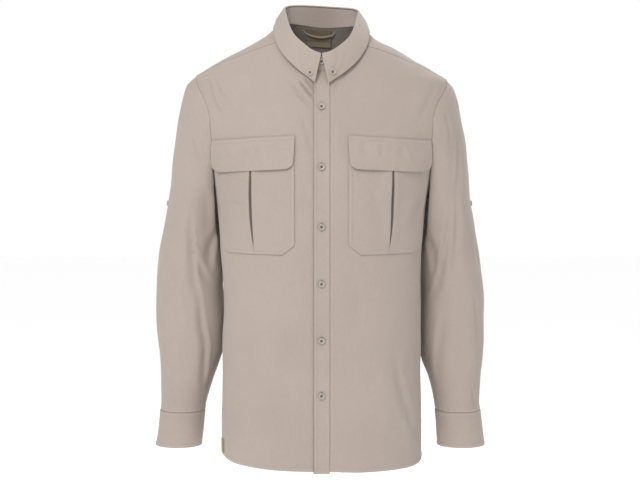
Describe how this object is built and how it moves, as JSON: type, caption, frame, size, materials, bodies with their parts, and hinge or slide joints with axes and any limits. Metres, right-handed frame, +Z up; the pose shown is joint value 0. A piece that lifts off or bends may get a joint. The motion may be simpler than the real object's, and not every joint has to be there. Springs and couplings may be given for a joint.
{
  "type": "shirt",
  "caption": "Long-sleeved woven shirt, filled out and hollow, with a button-down collar, front placket, buttoned cuffs and flapped chest pockets.",
  "frame": {"origin": "middle of the neck opening, level with the neck ends of the shoulders", "axes": "+X towards the wearer's left, -Y the way the shirt faces, +Z up"},
  "size_m": [0.5879, 0.2641, 0.8192],
  "materials": {
    "cloth": "matt plain-woven cotton-like cloth, warm stone colour",
    "button": "tonal four-hole buttons, satin",
    "neck_label": "bare olive-khaki woven tab",
    "side_label": "bare olive woven tab"
  },
  "bodies": {
    "root": {"front_left": "cloth", "front_right": "cloth", "placket": "cloth", "back": "cloth", "yoke": "cloth", "sleeve_left": "cloth", "sleeve_right": "cloth", "sleeve_placket_left": "cloth", "sleeve_placket_right": "cloth", "cuff_left": "cloth", "cuff_right": "cloth", "collar_stand": "cloth", "collar_leaf": "cloth", "pocket_left": "cloth", "pocket_right": "cloth", "pocket_flap_left": "cloth", "pocket_flap_right": "cloth", "hanger_loop": "cloth", "button_front_1": "button", "button_front_2": "button", "button_front_3": "button", "button_front_4": "button", "button_front_5": "button", "button_front_6": "button", "button_stand": "button", "button_point_left": "button", "button_point_right": "button", "button_cuff_left": "button", "button_cuff_right": "button", "button_tab_left": "button", "button_tab_right": "button", "neck_label": "neck_label", "side_label": "side_label"}
  },
  "joints": []
}
